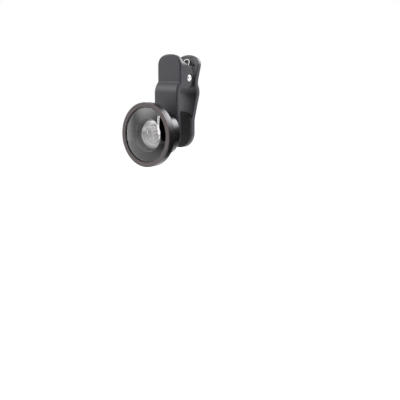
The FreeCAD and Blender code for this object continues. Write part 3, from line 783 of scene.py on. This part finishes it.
def soft_lamp(name, place, aim, width, height, radiance):
    # A soft box aimed at a point: its cloth is brightest in the middle and fades to its edges.
    # Its energy makes the strength in its nodes its radiance
    lamp = bpy.data.objects.new(name, bpy.data.lights.new(name, "AREA"))
    lamp.data.shape = "RECTANGLE"
    lamp.data.size = width
    lamp.data.size_y = height
    lamp.data.energy = pi * width * height
    lamp.data.use_nodes = True
    tree = lamp.data.node_tree
    tree.nodes.clear()
    across = add(tree, "ShaderNodeNewGeometry").outputs["Parametric"]
    centred = add(tree, "ShaderNodeVectorMath", {
        0: across, 1: (0.5, 0.5, 0),
    }, operation="SUBTRACT")
    flat = add(tree, "ShaderNodeVectorMath", {0: centred, 1: (2, 2, 0)}, operation="MULTIPLY")
    out = add(tree, "ShaderNodeVectorMath", {0: flat}, operation="LENGTH")
    fade = add(tree, "ShaderNodeMapRange", {
        "Value": out.outputs["Value"], "From Min": 1.0, "From Max": 0.1, "To Max": radiance,
    }, interpolation_type="SMOOTHSTEP")
    cloth = add(tree, "ShaderNodeEmission", {"Strength": fade})
    add(tree, "ShaderNodeOutputLight", {"Surface": cloth})
    lamp.location = place
    lamp.rotation_euler = (Vector(aim) - Vector(place)).to_track_quat("-Z", "Y").to_euler()
    bpy.context.collection.objects.link(lamp)


# The key lights the front half and the bowl, the lamp behind gives the turned metal its bright
# tops, and the fill lifts the bowl's left edge
soft_lamp("key_left", place=(-0.47, -0.45, 0.4), aim=CLIP_MIDDLE,
          width=1.0, height=0.68, radiance=3.2)
soft_lamp("lamp_behind_right", place=(0.16, 0.44, 0.345), aim=CLIP_MIDDLE,
          width=0.95, height=0.42, radiance=10.5)
soft_lamp("fill_left", place=(-0.62, -0.12, -0.03), aim=(0, 0, 0),
          width=0.5, height=0.5, radiance=0.8)


def card(name, material, corners):
    # A flat card that is seen only in a shine or through glass, and throws no shadow
    mesh = bpy.data.meshes.new(name)
    mesh.from_pydata(corners, [], [range(len(corners))])
    mesh.materials.append(material)
    flat = bpy.data.objects.new(name, mesh)
    flat.visible_camera = False
    flat.visible_shadow = False
    flat.visible_diffuse = False
    bpy.context.collection.objects.link(flat)


# Felt gives back next to no light, so that what mirrors it stays dark
black_felt, tree, place = finish("black_felt_card")
felt = add(tree, "ShaderNodeTexNoise", {
    "Vector": place, "Scale": 1 / (FELT_NAP * MM), "Detail": 2,
})
tone = add(tree, "ShaderNodeMix", {
    SHARE: felt, FIRST: linear("#1c1c1e"), SECOND: linear("#262628"),
}, data_type="RGBA")
nap = add(tree, "ShaderNodeBsdfDiffuse", {"Color": tone.outputs[MIXED]})
add(tree, "ShaderNodeOutputMaterial", {"Surface": nap})

# Black net, dense in the middle of its card and open towards the edges
black_net, tree, place = finish("black_scrim_net")
out = add(tree, "ShaderNodeVectorMath", {0: place, 1: NET_MIDDLE}, operation="DISTANCE")
dense = add(tree, "ShaderNodeMapRange", {
    "Value": out.outputs["Value"], "From Min": NET_REACH, "From Max": NET_CORE, "To Max": 0.8,
}, interpolation_type="SMOOTHSTEP")
open_net = add(tree, "ShaderNodeBsdfTransparent")
thread = add(tree, "ShaderNodeBsdfDiffuse", {"Color": linear("#1c1c1e")})
net = add(tree, "ShaderNodeMixShader", {0: dense, 1: open_net, 2: thread})
add(tree, "ShaderNodeOutputMaterial", {"Surface": net})

# A white strip that glows by itself and is no lamp: painted light, far brighter than the room
# round it
glowing_strip, tree, place = finish("glowing_white_strip")
weave = add(tree, "ShaderNodeTexNoise", {
    "Vector": place, "Scale": 1 / (GLOW_STRIP_WEAVE * MM), "Detail": 2,
})
light = add(tree, "ShaderNodeMapRange", {"Value": weave, "To Min": 8.5, "To Max": 9.5})
shine = add(tree, "ShaderNodeEmission", {"Strength": light})
add(tree, "ShaderNodeOutputMaterial", {"Surface": shine})

# The card in front gives the front glass its dark right side, and the glowing strip along its
# edge paints the bright streak there. The card beside keeps the drum's right side dark, the one on
# the right gives the pin's head its dark half, and the net darkens the bowl's lower right
card("card_in_front", black_felt, [
    (-0.045, -0.5, -0.11), (0.2, -0.5, -0.11), (0.2, -0.5, 0.24), (-0.095, -0.5, 0.24),
])
# Painted light: a glowing strip along the card's edge, seen only in a shine or through glass
card("glowing_strip_on_card", glowing_strip, [
    (-0.09, -0.501, -0.02), (-0.06, -0.501, -0.02), (-0.1, -0.501, 0.24), (-0.148, -0.501, 0.24),
])
card("card_beside", black_felt, [
    (0.012, 0.0038, -0.09), (0.12, 0.0038, -0.09), (0.12, 0.0038, 0.009), (0.012, 0.0038, 0.009),
])
card("card_right_of_camera", black_felt, [
    (0.42, -0.55, -0.11), (0.6, 0.12, -0.11), (0.6, 0.12, 0.45), (0.42, -0.55, 0.45),
])
card("net_below", black_net, [
    (-0.2, -0.5, -0.1), (0.25, -0.5, -0.1), (0.25, -0.1, -0.1), (-0.2, -0.1, -0.1),
])
